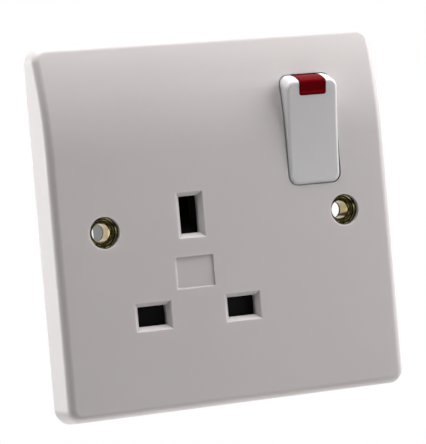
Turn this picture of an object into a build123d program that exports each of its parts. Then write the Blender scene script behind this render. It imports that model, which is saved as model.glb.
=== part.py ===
from build123d import *
from math import atan2, cos, degrees, radians, sin
import os

# Switched wall socket for a plug with three flat pins, with a neon window in its rocker.
# Millimetres. The origin is the middle of the plate on the wall plane. Facing the wall, +X is to the
# right and +Z is up. +Y runs into the wall, so the front of the plate looks along -Y.

# Front plate
plate_size = 86.0
plate_depth = 8.5
plate_wall = 2.5
plate_draft = 6.0
plate_corner = 4.0
plate_edge = 2.0
crown_start = 17.5
crown_radius = 77.0
seam = 0.05

# Pins of the plug, and the openings they go into
line_pin_width = 6.35
line_pin_height = 4.0
earth_pin_width = 4.0
earth_pin_height = 8.0
pin_pitch = 22.23
pin_clearance = 0.3
bevel_width = 1.0
bevel_depth = 1.2
pins_x = -8.95
line_pins_z = -19.95

# Bare panel between the pin openings
panel_width = 9.3
panel_height = 7.2
panel_depth = 0.35
panel_z = -10.8

# Fixing holes and their bushes
fixing_pitch = 60.3
fixing_bore = 2.1
bush_flange_radius = 3.55
bush_flange_depth = 2.15
bush_flange_thickness = 0.8
bush_tube_radius = 2.6
bush_length = 4.75
bush_clearance = 0.1
boss_wall = 1.0

# Rocker
rocker_x = 23.15
rocker_width = 13.0
rocker_reach = 13.17
rocker_corner = 2.15
rocker_edge = 0.8
rocker_wall = 1.3
rocker_face_wall = 1.6
rocker_face_low = 5.84
rocker_face_mid = 5.05
rocker_face_high = 5.2
rocker_skirt = 2.6
rocker_side_gap = 0.5
rocker_end_gap = 0.35
pivot_y = -4.8
pivot_z = 19.45
rocker_half_swing = 8.0
trunnion_radius = 1.0
trunnion_length = 1.8
running_clearance = 0.06
cheek_wall = 1.6
cheek_height = 8.0
cheek_back = -2.4
leg_height = 4.6
leg_end = 5.9

# Neon window, lamp, resistor and leads
lens_width = 6.9
lens_low = 9.15
lens_corner = 0.6
light_guide_width = 5.0
light_guide_height = 1.6
light_guide_end = -0.6
lamp_radius = 1.7
lamp_length = 7.4
lamp_y = -0.4
lamp_z = 27.6
resistor_radius = 0.95
resistor_length = 4.0
resistor_y = 3.6
lead_radius = 0.25
lead_bend = 0.6
lead_reach = 0.65
lead_z = 29.4
wire_sides = 6

# Spring plungers in the rocker's leg
pole_pitch = 6.6
plunger_radius = 1.4
plunger_bore_clearance = 0.1
plunger_shoulder = 3.3
plunger_spigot_radius = 0.75
plunger_spigot_length = 1.0
plunger_bore_start = -1.9
plunger_tip_gap = 0.05
plunger_spring_wire = 0.35
plunger_spring_turns = 4

# Contact arms, which rock on the noses of the busbars
fulcrum_y = 4.6
nose_radius = 0.5
arm_half_swing = 10.0
arm_width = 5.0
arm_thickness = 0.8
arm_half_length = 8.3
arm_seat = 0.25
contact_reach = 7.0
contact_radius = 1.4
contact_head = 0.75
contact_dome = 3.0
contact_shank = 0.6
contact_gap = 0.05

# Brass and bronze strips
strip = 0.8
leaf = 0.6
bus_width = 4.0
neutral_bus_y = 10.2
neutral_bus_z = 17.0
neutral_bus_x = -18.2
line_bus_y = 12.4
line_bus_z = 10.6
line_bus_x = 11.0
bus_end = 2.15
clip_width = 6.0
clip_grip = 1.85
clip_mouth = 2.6
clip_mouth_y = -2.6
clip_grip_y = 0.8
earth_clip_length = 13.9
earth_clip_grip_y = 8.0
earth_clip_height = 7.0

# Earth strap
strap_width = 7.0
strap_end_radius = 4.2
ring_margin = 3.0
ring_half_window = 3.1
ring_top = 7.2
ring_bottom = -9.4
link_width = 6.0
link_rise = 20.4

# Terminals
terminal_width = 5.9
terminal_depth = 7.3
terminal_height = 8.0
terminal_z = 28.2
terminal_wall_gap = 0.27
wire_bore = 2.25
wire_bore_inset = 3.6
terminal_screw_radius = 1.5
thread_clearance = 0.05
terminal_head_radius = 2.6
terminal_head = 1.5
earth_screw_pitch = 8.2
slot_width = 0.6
slot_depth = 0.7
edge_break = 0.3

# Shutter over the line and neutral openings
shutter_front = -5.8
shutter_back = -3.4
shutter_lap = 0.45
stem_half_width = 3.2
stem_window = 1.6
stem_window_top = -4.5
stem_top = -1.9
peg_z = -15.5
peg_height = 1.0
wedge_half_width = 2.25
wedge_back = 1.4
wedge_top = 4.5
wedge_height = 3.3
guide_gap = 0.3
guide_wall = 1.0
shutter_spring_radius = 1.1
shutter_spring_wire = 0.35
shutter_spring_turns = 5

# Rear housing
housing_left = -27.0
housing_low_right = 16.0
housing_bottom = -31.4
housing_shelf = 6.0
housing_notch = -24.4
housing_wall = 1.6
floor_gap = 0.15
entry_gap = 1.0
entry_clearance = 0.6
step_drop = 2.8
housing_corner = 1.2
pole_wall = 1.2
rib = 1.2
chamber_wall_back = 9.0

# Screws that hold the housing to the plate
post_radius = 3.0
column_radius = 3.3
post_back = -0.5
housing_screw_radius = 1.45
housing_screw_hole = 1.6
housing_head_radius = 2.7
housing_head = 1.9
housing_screw_tip = -4.2
head_seat = 13.0
screw_inset = 4.0
top_screw_x = 9.0
side_screw_z = -11.5

# Places that follow from the sizes above
front_y = -plate_depth
inner_y = plate_wall - plate_depth
neutral_x = pins_x - pin_pitch / 2
line_x = pins_x + pin_pitch / 2
earth_pin_z = line_pins_z + pin_pitch
throat_grow = 2 * pin_clearance
bevel_angle = degrees(atan2(bevel_width, bevel_depth))
fixing_points = [(-fixing_pitch / 2, 0), (fixing_pitch / 2, 0)]
bush_y = front_y + bush_flange_depth
bush_back = bush_y + bush_length
boss_back = bush_back - seam
boss_radius = bush_flange_radius + bush_clearance + boss_wall
well_half_width = rocker_width / 2 + rocker_side_gap
well_reach = rocker_reach + rocker_end_gap
line_pole_x = rocker_x + pole_pitch / 2
neutral_pole_x = rocker_x - pole_pitch / 2
swing = radians(rocker_half_swing)
tilt = radians(arm_half_swing)
rocker_out = (0, cos(swing), sin(swing))
arm_out = (0, cos(tilt), -sin(tilt))
arm_face = fulcrum_y - arm_seat - arm_thickness
plunger_centre = arm_face - pivot_y - plunger_radius - plunger_tip_gap
line_terminal_x = rocker_x + pole_wall / 2 + terminal_wall_gap + terminal_width / 2
neutral_terminal_x = 2 * rocker_x - line_terminal_x
chamber_left = rocker_x - well_half_width
chamber_right = rocker_x + well_half_width

# The domed contacts meet where the arm's dome reaches furthest in
dome_centre = contact_head - arm_seat - contact_dome
contact_y = fulcrum_y + dome_centre * cos(tilt) + contact_reach * sin(tilt) + contact_dome + contact_gap
contact_z = pivot_z - dome_centre * sin(tilt) + contact_reach * cos(tilt)
terminal_plate_y = contact_y + contact_head
terminal_y = terminal_plate_y + strip
wire_y = terminal_y + wire_bore_inset
terminal_back = terminal_y + terminal_depth

# The housing is as deep and as tall as its terminals, its strips and the earth clip need
neutral_bus_back = neutral_bus_y + strip
line_bus_back = line_bus_y + strip
inner_floor = terminal_back + floor_gap
housing_back = inner_floor + housing_wall
low_floor = max(earth_clip_length, line_bus_back) + floor_gap
housing_low_back = low_floor + housing_wall
inner_top = terminal_z + terminal_height / 2 + entry_gap
housing_top = inner_top + housing_wall
housing_step_z = terminal_z - terminal_height / 2 - step_drop
housing_right = chamber_right + cheek_wall
side_screw_x = neutral_bus_x - bus_width / 2 - bush_clearance - column_radius
housing_screw_points = [
    (housing_left + screw_inset, housing_top - screw_inset),
    (top_screw_x, housing_top - screw_inset),
    (side_screw_x, side_screw_z),
    (housing_low_right - screw_inset, housing_bottom + screw_inset),
]

# Earth metalwork lies in layers behind the bushes
strap_y = bush_back
clip_flange_y = strap_y + strip
link_y = clip_flange_y + leaf


def facing(depth):
    """Plane at a depth that looks out of the wall, with its x along X and its y along Z."""
    return Plane.XZ.offset(-depth)


def across(x):
    """Plane that looks along +X, with its x along Y and its y along Z."""
    return Plane.YZ.offset(x)


def crown_profile(inset, back):
    """Side outline of the plate, flat below and curving back to the wall above."""
    half = plate_size / 2
    front = front_y + inset
    radius = crown_radius - inset
    rise = half - crown_start
    crown_top = front + radius - (radius**2 - rise**2) ** 0.5
    with BuildLine() as outline:
        Polyline((crown_top, half), (back, half), (back, -half), (front, -half), (front, crown_start))
        TangentArc((front, crown_start), (crown_top, half), tangent=(0, 1))
    make_face(outline.edges())


def crowned_block(inset):
    """Drafted square block with the crowned face, drawn in by a wall on every side."""
    side = plate_size - 2 * inset
    with BuildPart() as block:
        with BuildSketch(facing(0)):
            RectangleRounded(side, side, max(plate_corner - inset, 0.5))
        extrude(amount=plate_depth - inset, taper=plate_draft)
        with BuildSketch(across(0)):
            crown_profile(inset, 0)
        extrude(amount=plate_size, both=True, mode=Mode.INTERSECT)
    return block.part


# Frames of the rocker and the arms, which both rest in the on position
rocker_side = Plane(origin=(rocker_x, pivot_y, pivot_z), x_dir=rocker_out, z_dir=(1, 0, 0))
rocker_front = Plane(origin=(rocker_x, pivot_y, pivot_z), x_dir=(1, 0, 0), z_dir=-rocker_side.x_dir)


def rocker_form(wall, face_wall, back):
    """Slab turned about the pivot, with a dished face, drawn in by a wall."""
    reach = rocker_reach - wall
    low = face_wall - rocker_face_low
    mid = face_wall - rocker_face_mid
    high = face_wall - rocker_face_high
    with BuildPart() as form:
        with BuildSketch(rocker_side):
            Circle(reach)
        extrude(amount=rocker_width / 2 - wall, both=True)
        with BuildSketch(rocker_side):
            with BuildLine():
                Polyline((high, reach), (back, reach), (back, -reach), (low, -reach))
                ThreePointArc((low, -reach), (mid, 0), (high, reach))
            make_face()
        extrude(amount=rocker_width, both=True, mode=Mode.INTERSECT)
    return form.part


def coil(foot, direction, length, radius, wire, turns):
    """Wire wound into an open helical spring."""
    with BuildPart() as spring:
        with BuildLine() as path:
            Helix((length - wire) / turns, length - wire, radius, center=foot, direction=direction)
        with BuildSketch(Plane(origin=path.line @ 0, z_dir=path.line % 0)):
            RegularPolygon(wire / 2, wire_sides)
        sweep(is_frenet=True)
    return spring.part


# Well that the rocker tips in
with BuildPart() as rocker_well:
    with BuildSketch(rocker_side):
        Circle(well_reach)
    extrude(amount=well_half_width, both=True)
    fillet(rocker_well.edges().filter_by(GeomType.CIRCLE), rocker_corner + rocker_end_gap)

# Bosses, posts, bearing cheeks and ribs on the back of the plate
with BuildPart() as plate_backing:
    with BuildSketch(facing(front_y)):
        with Locations(*fixing_points):
            Circle(boss_radius)
    extrude(amount=front_y - boss_back)
    with BuildSketch(facing(front_y)):
        with Locations(*housing_screw_points):
            Circle(post_radius)
    extrude(amount=front_y - post_back)
    for side in (-1, 1):
        with BuildSketch(across(rocker_x + side * well_half_width)):
            with Locations(((front_y + cheek_back) / 2, pivot_z)):
                Rectangle(cheek_back - front_y, cheek_height)
        extrude(amount=side * cheek_wall)
        with BuildSketch(across(rocker_x + side * well_half_width)):
            with Locations((pivot_y, pivot_z)):
                Circle(trunnion_radius + running_clearance)
            with Locations(((pivot_y + cheek_back) / 2, pivot_z)):
                Rectangle(cheek_back - pivot_y, 2 * (trunnion_radius + running_clearance))
        extrude(amount=side * cheek_wall, mode=Mode.SUBTRACT)
    with BuildSketch(facing(front_y)):
        guide_x = stem_half_width + guide_gap + guide_wall / 2
        with Locations((pins_x - guide_x, panel_z), (pins_x + guide_x, panel_z)):
            Rectangle(guide_wall, panel_height)
        with Locations((pins_x, peg_z)):
            Rectangle(2 * stem_window - 2 * guide_gap, peg_height)
    extrude(amount=front_y - shutter_back)
    with BuildSketch(facing(front_y)):
        side_rib = plate_size / 2 - fixing_pitch / 2 - bush_flange_radius
        for side in (-1, 1):
            with Locations((side * (plate_size / 2 - side_rib / 2), 0)):
                Rectangle(side_rib, rib)
        for x in (housing_left + post_radius, housing_low_right - post_radius):
            with Locations((x, (plate_size / 2 + housing_top + seam) / 2)):
                Rectangle(rib, plate_size / 2 - housing_top - seam)
            with Locations((x, (housing_bottom - seam - plate_size / 2) / 2)):
                Rectangle(rib, plate_size / 2 + housing_bottom - seam)
    extrude(amount=front_y - shutter_back)
    add(crowned_block(plate_wall / 2), mode=Mode.INTERSECT)

with BuildPart() as front_plate:
    add(crowned_block(0))
    flat = front_plate.faces().sort_by(Axis.Y)[0]
    crown = front_plate.faces().filter_by(GeomType.CYLINDER).sort_by(SortBy.AREA)[-1]
    brow = ShapeList(e for e in flat.edges() + crown.edges() if abs(e.center().Z - crown_start) > 1)
    fillet(brow, plate_edge)
    add(crowned_block(plate_wall), mode=Mode.SUBTRACT)
    add(rocker_well.part, mode=Mode.SUBTRACT)
    add(plate_backing.part)
    pin_openings = [
        (neutral_x, line_pins_z, line_pin_width, line_pin_height),
        (line_x, line_pins_z, line_pin_width, line_pin_height),
        (pins_x, earth_pin_z, earth_pin_width, earth_pin_height),
    ]
    for x, z, width, height in pin_openings:
        with BuildSketch(facing(front_y)):
            with Locations((x, z)):
                Rectangle(width + throat_grow + 2 * bevel_width, height + throat_grow + 2 * bevel_width)
        extrude(amount=-bevel_depth, taper=bevel_angle, mode=Mode.SUBTRACT)
        with BuildSketch(facing(front_y)):
            with Locations((x, z)):
                Rectangle(width + throat_grow, height + throat_grow)
        extrude(amount=-plate_wall, mode=Mode.SUBTRACT)
    with BuildSketch(facing(front_y)):
        with Locations((pins_x, panel_z)):
            Rectangle(panel_width, panel_height)
    extrude(amount=-panel_depth, mode=Mode.SUBTRACT)
    with BuildSketch(facing(front_y)):
        with Locations(*fixing_points):
            Circle(bush_flange_radius + bush_clearance)
    extrude(amount=-bush_flange_depth - bush_flange_thickness, mode=Mode.SUBTRACT)
    with BuildSketch(facing(front_y)):
        with Locations(*fixing_points):
            Circle(bush_tube_radius + bush_clearance)
    extrude(amount=-plate_depth, mode=Mode.SUBTRACT)
    with BuildSketch(facing(post_back)):
        with Locations(*housing_screw_points):
            Circle(housing_screw_radius + thread_clearance)
    extrude(amount=post_back - housing_screw_tip, mode=Mode.SUBTRACT)
front_plate.part.label = "front_plate"


def bush(x):
    """Brass bush of a fixing hole: a countersunk flange on a tube."""
    rim = bush_flange_radius - fixing_bore
    with BuildPart() as body:
        with BuildSketch(Plane.XY):
            with BuildLine():
                Polyline(
                    (x + fixing_bore, bush_back),
                    (x + bush_tube_radius, bush_back),
                    (x + bush_tube_radius, bush_y + bush_flange_thickness),
                    (x + bush_flange_radius, bush_y + bush_flange_thickness),
                    (x + bush_flange_radius, bush_y),
                    (x + bush_flange_radius - edge_break, bush_y),
                    (x + fixing_bore, bush_y + rim - edge_break),
                    close=True,
                )
            make_face()
        revolve(axis=Axis((x, 0, 0), (0, 1, 0)))
    return body


left_bush = bush(fixing_points[0][0])
left_bush.part.label = "left_bush"
right_bush = bush(fixing_points[1][0])
right_bush.part.label = "right_bush"


def ring_outline(window):
    """Ring round the earth pin and the shutter's wedge, at the middle of the earth metalwork."""
    ring_mid = (ring_top + ring_bottom) / 2
    with Locations((pins_x, ring_mid)):
        Rectangle(2 * (ring_half_window + ring_margin), ring_top - ring_bottom + 2 * ring_margin)
        Rectangle(2 * window, ring_top - ring_bottom, mode=Mode.SUBTRACT)


# Strap that earths both fixing screws
with BuildPart() as earth_strap:
    with BuildSketch(facing(strap_y)):
        Rectangle(fixing_pitch, strap_width)
        with Locations(*fixing_points):
            Circle(strap_end_radius)
        with Locations((pins_x, 0)):
            Rectangle(2 * ring_half_window, strap_width, mode=Mode.SUBTRACT)
        ring_outline(ring_half_window)
        with Locations(*fixing_points):
            Circle(fixing_bore, mode=Mode.SUBTRACT)
    extrude(amount=-strip)
earth_strap.part.label = "earth_strap"

# Two leaves that grip the earth pin, folded back from a flange
with BuildPart() as earth_clip:
    with BuildSketch(facing(clip_flange_y)):
        ring_outline(ring_half_window - leaf / 2)
    extrude(amount=-leaf)
    for side in (-1, 1):
        with BuildSketch(Plane.XY.offset(earth_pin_z)):
            with BuildLine():
                Polyline(
                    (pins_x + side * (ring_half_window + leaf / 4), clip_flange_y + leaf / 2),
                    (pins_x + side * (clip_grip + leaf / 2), earth_clip_grip_y),
                    (pins_x + side * clip_mouth, earth_clip_length),
                )
            trace(line_width=leaf)
        extrude(amount=earth_clip_height / 2, both=True)
earth_clip.part.label = "earth_clip"

# Strip from the earth clip up to the earth terminal
with BuildPart() as earth_link:
    with BuildSketch(across(pins_x)):
        with BuildLine():
            Polyline(
                (link_y + strip / 2, ring_top + leaf),
                (link_y + strip / 2, link_rise),
                (terminal_plate_y + strip / 2, link_rise),
                (terminal_plate_y + strip / 2, terminal_z + terminal_height / 2),
            )
        trace(line_width=strip)
    extrude(amount=link_width / 2, both=True)
earth_link.part.label = "earth_link"

# Rocker, open at the back, with its trunnions and the leg that carries the plungers
plunger_bore = plunger_radius + plunger_bore_clearance
poles = [(-pole_pitch / 2, 0), (pole_pitch / 2, 0)]
with BuildPart() as rocker_blank:
    add(rocker_form(0, 0, rocker_skirt))
    rounds = rocker_blank.faces().filter_by(GeomType.CYLINDER).filter_by(lambda f: f.radius == rocker_reach)
    fillet(rounds.edges().filter_by(GeomType.CIRCLE), rocker_corner)
    fillet(rocker_blank.faces().sort_by(Axis.Y)[0].edges(), rocker_edge)

with BuildPart() as lens_window:
    with BuildSketch(rocker_front) as window:
        with Locations((0, lens_low + rocker_reach / 2)):
            Rectangle(lens_width, rocker_reach)
        fillet(window.vertices().group_by(Axis.Y)[0], lens_corner)
    extrude(amount=rocker_reach)

with BuildPart() as rocker:
    add(rocker_blank.part)
    add(rocker_form(rocker_wall, rocker_face_wall, rocker_reach), mode=Mode.SUBTRACT)
    with BuildSketch(rocker_side):
        leg_start = rocker_face_wall / 2 - rocker_face_mid
        with Locations(((leg_start + leg_end) / 2, 0)):
            Rectangle(leg_end - leg_start, leg_height)
    extrude(amount=rocker_width / 2 - rocker_wall / 2, both=True)
    for side in (-1, 1):
        with BuildSketch(rocker_side.offset(side * (rocker_width / 2 - rocker_wall / 2))):
            Circle(trunnion_radius)
        extrude(amount=side * (rocker_wall / 2 + trunnion_length))
    with BuildSketch(rocker_front.offset(-leg_end)):
        with Locations(*poles):
            Circle(plunger_bore)
    extrude(amount=leg_end - plunger_bore_start, mode=Mode.SUBTRACT)
    add(lens_window.part, mode=Mode.SUBTRACT)
rocker.part.label = "rocker"

# Red window let into the top of the rocker, with a guide that reaches towards the lamp
with BuildPart() as neon_lens:
    add(rocker_blank.part)
    add(rocker_form(rocker_wall, rocker_face_wall, rocker_reach), mode=Mode.SUBTRACT)
    add(lens_window.part, mode=Mode.INTERSECT)
    guide_start = rocker_face_wall / 2 - rocker_face_high
    with BuildSketch(rocker_side):
        with Locations(((guide_start + light_guide_end) / 2, lens_low + light_guide_height / 2)):
            Rectangle(light_guide_end - guide_start, light_guide_height)
    extrude(amount=light_guide_width / 2, both=True)
neon_lens.part.label = "neon_lens"

# Neon lamp behind the window, its resistor and their leads
with BuildPart() as neon_lamp:
    with BuildSketch(facing(lamp_y)) as glass:
        with Locations((rocker_x, lamp_z + lamp_radius / 2)):
            Rectangle(lamp_length, lamp_radius)
        chamfer(glass.vertices().group_by(Axis.Y)[-1], lamp_radius / 2)
    revolve(axis=Axis((rocker_x, lamp_y, lamp_z), (1, 0, 0)))
neon_lamp.part.label = "neon_lamp"

neutral_lead_x = rocker_x - lamp_length / 2 - lead_reach
resistor_front = resistor_y - resistor_length / 2
with BuildPart() as neon_resistor:
    with BuildSketch(facing(resistor_front)):
        with Locations((neutral_lead_x, lead_z)):
            Circle(resistor_radius)
    extrude(amount=-resistor_length)
    chamfer(neon_resistor.edges().filter_by(GeomType.CIRCLE), edge_break)
neon_resistor.part.label = "neon_resistor"


def lead(side, end_y):
    """Bent wire from one end of the lamp, up clear of the contact arm and back."""
    end_x = rocker_x + side * lamp_length / 2
    out_x = end_x + side * lead_reach
    start, corner = (end_x, lamp_y, lamp_z), (out_x, lamp_y, lamp_z)
    route = [start, corner, (out_x, lamp_y, lead_z), (out_x, end_y, lead_z)]
    with BuildPart() as wire:
        with BuildLine():
            FilletPolyline(*route, radius=lead_bend)
        with BuildSketch(across(end_x)):
            with Locations((lamp_y, lamp_z)):
                RegularPolygon(lead_radius, wire_sides)
        sweep()
    return wire.part


with BuildPart() as neon_leads:
    add(lead(-1, resistor_front))
    add(lead(1, terminal_plate_y))
    with BuildSketch(facing(resistor_y + resistor_length / 2)):
        with Locations((neutral_lead_x, lead_z)):
            RegularPolygon(lead_radius, wire_sides)
    extrude(amount=resistor_y + resistor_length / 2 - terminal_plate_y)
neon_leads.part.label = "neon_leads"


def plunger(x):
    """Domed plunger with a spigot for its spring, on the line of the rocker's leg."""
    frame = Plane(origin=(x, pivot_y, pivot_z), x_dir=rocker_out, z_dir=(1, 0, 0))
    shoulder = plunger_shoulder
    with BuildPart() as body:
        with BuildSketch(frame):
            with BuildLine():
                Polyline(
                    (plunger_centre + plunger_radius, 0),
                    (shoulder - plunger_spigot_length, 0),
                    (shoulder - plunger_spigot_length, plunger_spigot_radius),
                    (shoulder, plunger_spigot_radius),
                    (shoulder, plunger_radius),
                    (plunger_centre, plunger_radius),
                )
                CenterArc((plunger_centre, 0), plunger_radius, 0, 90)
            make_face()
        revolve(axis=Axis(frame.origin, frame.x_dir))
    return body


def plunger_spring(x):
    """Coil between the bottom of the plunger's bore and its shoulder."""
    frame = Plane(origin=(x, pivot_y, pivot_z), x_dir=rocker_out, z_dir=(1, 0, 0))
    wire = plunger_spring_wire
    foot = frame.from_local_coords((plunger_bore_start + wire / 2 + seam, 0, 0))
    length = plunger_shoulder - plunger_bore_start - 2 * seam
    coil_radius = plunger_radius - wire / 2 - seam
    return coil(foot, frame.x_dir, length, coil_radius, wire, plunger_spring_turns)


line_plunger = plunger(line_pole_x)
line_plunger.part.label = "line_plunger"
neutral_plunger = plunger(neutral_pole_x)
neutral_plunger.part.label = "neutral_plunger"
with BuildPart() as line_plunger_spring:
    add(plunger_spring(line_pole_x))
line_plunger_spring.part.label = "line_plunger_spring"
with BuildPart() as neutral_plunger_spring:
    add(plunger_spring(neutral_pole_x))
neutral_plunger_spring.part.label = "neutral_plunger_spring"


def arm_side(x):
    """Frame of a contact arm at its fulcrum, with its x out of the arm's back and its y up the arm."""
    return Plane(origin=(x, fulcrum_y, pivot_z), x_dir=arm_out, z_dir=(1, 0, 0))


def contact_arm(x):
    """Rocking arm with a groove for the fulcrum's nose and a hole for its contact."""
    frame = arm_side(x)
    with BuildPart() as arm:
        with BuildSketch(frame):
            with Locations((-arm_seat - arm_thickness / 2, 0)):
                Rectangle(arm_thickness, 2 * arm_half_length)
            Circle(nose_radius + running_clearance, mode=Mode.SUBTRACT)
        extrude(amount=arm_width / 2, both=True)
        ends = arm.edges().filter_by(lambda e: abs(e.length - arm_thickness) < seam)
        fillet(ends, arm_thickness)
        with BuildSketch(Plane(origin=frame.from_local_coords((0, contact_reach, 0)), z_dir=arm_out)):
            Circle(contact_shank)
        extrude(amount=arm_width, both=True, mode=Mode.SUBTRACT)
    return arm


def contact_rivet(frame, height, shank_end, face, apex):
    """Silver contact with a domed head, riveted through a strip."""
    lean = 1 if apex > face else -1
    rim = apex - lean * (contact_dome - (contact_dome**2 - contact_radius**2) ** 0.5)
    middle = apex - lean * (contact_dome - (contact_dome**2 - (contact_radius / 2) ** 2) ** 0.5)
    with BuildPart() as contact:
        with BuildSketch(frame):
            with BuildLine():
                Polyline(
                    (apex, height),
                    (shank_end, height),
                    (shank_end, height + contact_shank),
                    (face, height + contact_shank),
                    (face, height + contact_radius),
                    (rim, height + contact_radius),
                )
                ThreePointArc(
                    (rim, height + contact_radius),
                    (middle, height + contact_radius / 2),
                    (apex, height),
                )
            make_face()
        revolve(axis=Axis(frame.from_local_coords((0, height, 0)), frame.x_dir))
    return contact


def arm_contact(x):
    """Contact at the upper end of an arm."""
    face = -arm_seat
    return contact_rivet(arm_side(x), contact_reach, face - arm_thickness, face, face + contact_head)


line_arm = contact_arm(line_pole_x)
line_arm.part.label = "line_contact_arm"
neutral_arm = contact_arm(neutral_pole_x)
neutral_arm.part.label = "neutral_contact_arm"
line_arm_contact = arm_contact(line_pole_x)
line_arm_contact.part.label = "line_arm_contact"
neutral_arm_contact = arm_contact(neutral_pole_x)
neutral_arm_contact.part.label = "neutral_arm_contact"


def terminal_plate(x):
    """Strip that carries a fixed contact and lies under a terminal."""
    low = contact_z - contact_radius - strip
    high = terminal_z + terminal_height / 2
    with BuildPart() as plate:
        with BuildSketch(facing(terminal_plate_y)):
            with Locations((x, (low + high) / 2)):
                Rectangle(arm_width, high - low)
            with Locations((x, contact_z)):
                Circle(contact_shank, mode=Mode.SUBTRACT)
        extrude(amount=-strip)
    return plate


line_terminal_plate = terminal_plate(line_pole_x)
line_terminal_plate.part.label = "line_terminal_plate"
neutral_terminal_plate = terminal_plate(neutral_pole_x)
neutral_terminal_plate.part.label = "neutral_terminal_plate"
with BuildPart() as fixed_contacts:
    for x in (neutral_pole_x, line_pole_x):
        add(contact_rivet(across(x), contact_z, terminal_plate_y + strip, terminal_plate_y, contact_y).part)
fixed_contacts.part.label = "fixed_contacts"


def terminal(x, screw_offsets):
    """Brass block with a wire bore and a screw hole for each wire."""
    width = terminal_width + screw_offsets[-1] - screw_offsets[0]
    with BuildPart() as block:
        with BuildSketch(facing(terminal_y)):
            with Locations((x, terminal_z)):
                Rectangle(width, terminal_height)
        extrude(amount=-terminal_depth)
        fillet(block.edges().filter_by(Axis.Z), edge_break)
        with BuildSketch(Plane.XY.offset(terminal_z - terminal_height / 2)):
            with Locations(*[(x + offset, wire_y) for offset in screw_offsets]):
                Circle(wire_bore)
        extrude(amount=terminal_height, mode=Mode.SUBTRACT)
        with BuildSketch(facing(terminal_back)):
            with Locations(*[(x + offset, terminal_z) for offset in screw_offsets]):
                Circle(terminal_screw_radius + thread_clearance)
        extrude(amount=terminal_back - wire_y, mode=Mode.SUBTRACT)
    return block


earth_offsets = [-earth_screw_pitch / 2, earth_screw_pitch / 2]
line_terminal = terminal(line_terminal_x, [0])
line_terminal.part.label = "line_terminal"
neutral_terminal = terminal(neutral_terminal_x, [0])
neutral_terminal.part.label = "neutral_terminal"
earth_terminal = terminal(pins_x, earth_offsets)
earth_terminal.part.label = "earth_terminal"

wire_points = [line_terminal_x, neutral_terminal_x] + [pins_x + offset for offset in earth_offsets]
screw_heads = [(x, terminal_z) for x in wire_points]
head_y = inner_floor + seam
with BuildPart() as terminal_screws:
    with BuildSketch(facing(wire_y + wire_bore + seam)):
        with Locations(*screw_heads):
            Circle(terminal_screw_radius)
    extrude(amount=wire_y + wire_bore + seam - head_y)
    with BuildSketch(facing(head_y)):
        with Locations(*screw_heads):
            Circle(terminal_head_radius)
    extrude(amount=-terminal_head)
    with BuildSketch(facing(head_y + terminal_head)):
        with Locations(*screw_heads):
            Rectangle(2 * terminal_head_radius, slot_width)
    extrude(amount=slot_depth, mode=Mode.SUBTRACT)
terminal_screws.part.label = "terminal_screws"


def busbar(pole_x, depth, route):
    """Upright that an arm rocks on, and the strip that runs from it to a pin clip."""
    with BuildPart() as bar:
        with BuildSketch(across(pole_x)):
            with Locations((fulcrum_y, pivot_z)):
                Circle(nose_radius)
            with Locations(((fulcrum_y + depth + strip / 2) / 2, pivot_z)):
                Rectangle(depth + strip / 2 - fulcrum_y, 2 * nose_radius)
        extrude(amount=arm_width / 2, both=True)
        with BuildSketch(facing(depth)):
            with BuildLine():
                Polyline(*route)
            trace(line_width=bus_width)
        extrude(amount=-strip)
    return bar


neutral_busbar = busbar(
    neutral_pole_x,
    neutral_bus_y,
    [
        (neutral_pole_x, pivot_z + bus_end),
        (neutral_pole_x, neutral_bus_z),
        (neutral_bus_x, neutral_bus_z),
        (neutral_bus_x, line_pins_z - bus_end),
    ],
)
neutral_busbar.part.label = "neutral_busbar"
line_busbar = busbar(
    line_pole_x,
    line_bus_y,
    [
        (line_pole_x, pivot_z + bus_end),
        (line_pole_x, line_bus_z),
        (line_bus_x, line_bus_z),
        (line_bus_x, line_pins_z),
        (line_x - bus_end, line_pins_z),
    ],
)
line_busbar.part.label = "line_busbar"


def pin_clip(x, back):
    """Sprung clip folded from one strip, flared at its mouth and pinched where it grips the pin."""
    mouth = clip_mouth + leaf / 2
    grip = clip_grip + leaf / 2
    upper = [(clip_mouth_y, mouth), (clip_grip_y, grip), (back - leaf / 2, mouth)]
    fold = [(y, line_pins_z + z) for y, z in upper]
    fold += [(y, line_pins_z - z) for y, z in reversed(upper)]
    with BuildPart() as clip:
        with BuildSketch(across(x)):
            with BuildLine():
                Polyline(*fold)
            trace(line_width=leaf)
        extrude(amount=clip_width / 2, both=True)
    return clip


line_pin_clip = pin_clip(line_x, line_bus_y)
line_pin_clip.part.label = "line_pin_clip"
neutral_pin_clip = pin_clip(neutral_x, neutral_bus_y)
neutral_pin_clip.part.label = "neutral_pin_clip"

# Shutter: a bar across the two lower openings, hung on a stem with the earth pin's wedge
bar_half_height = line_pin_height / 2 + pin_clearance + shutter_lap
bar_left = neutral_x - line_pin_width / 2 - pin_clearance - shutter_lap
bar_right = line_x + line_pin_width / 2 + pin_clearance + shutter_lap
peg_top = peg_z + peg_height / 2
peg_bottom = peg_z - peg_height / 2
with BuildPart() as shutter:
    with BuildSketch(facing(shutter_front)):
        with Locations(((bar_left + bar_right) / 2, line_pins_z)):
            Rectangle(bar_right - bar_left, 2 * bar_half_height)
        with Locations((pins_x, (stem_top + line_pins_z) / 2)):
            Rectangle(2 * stem_half_width, stem_top - line_pins_z)
        with Locations((pins_x, (stem_window_top + peg_bottom - edge_break) / 2)):
            Rectangle(2 * stem_window, stem_window_top - peg_bottom + edge_break, mode=Mode.SUBTRACT)
    extrude(amount=shutter_front - shutter_back)
    with BuildSketch(across(pins_x)):
        with BuildLine():
            Polyline(
                (shutter_front, stem_top),
                (wedge_back, wedge_top),
                (wedge_back, wedge_top - wedge_height),
                (shutter_back, stem_window_top),
                (shutter_front, stem_window_top),
                close=True,
            )
        make_face()
    extrude(amount=wedge_half_width, both=True)
shutter.part.label = "shutter"

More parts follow.
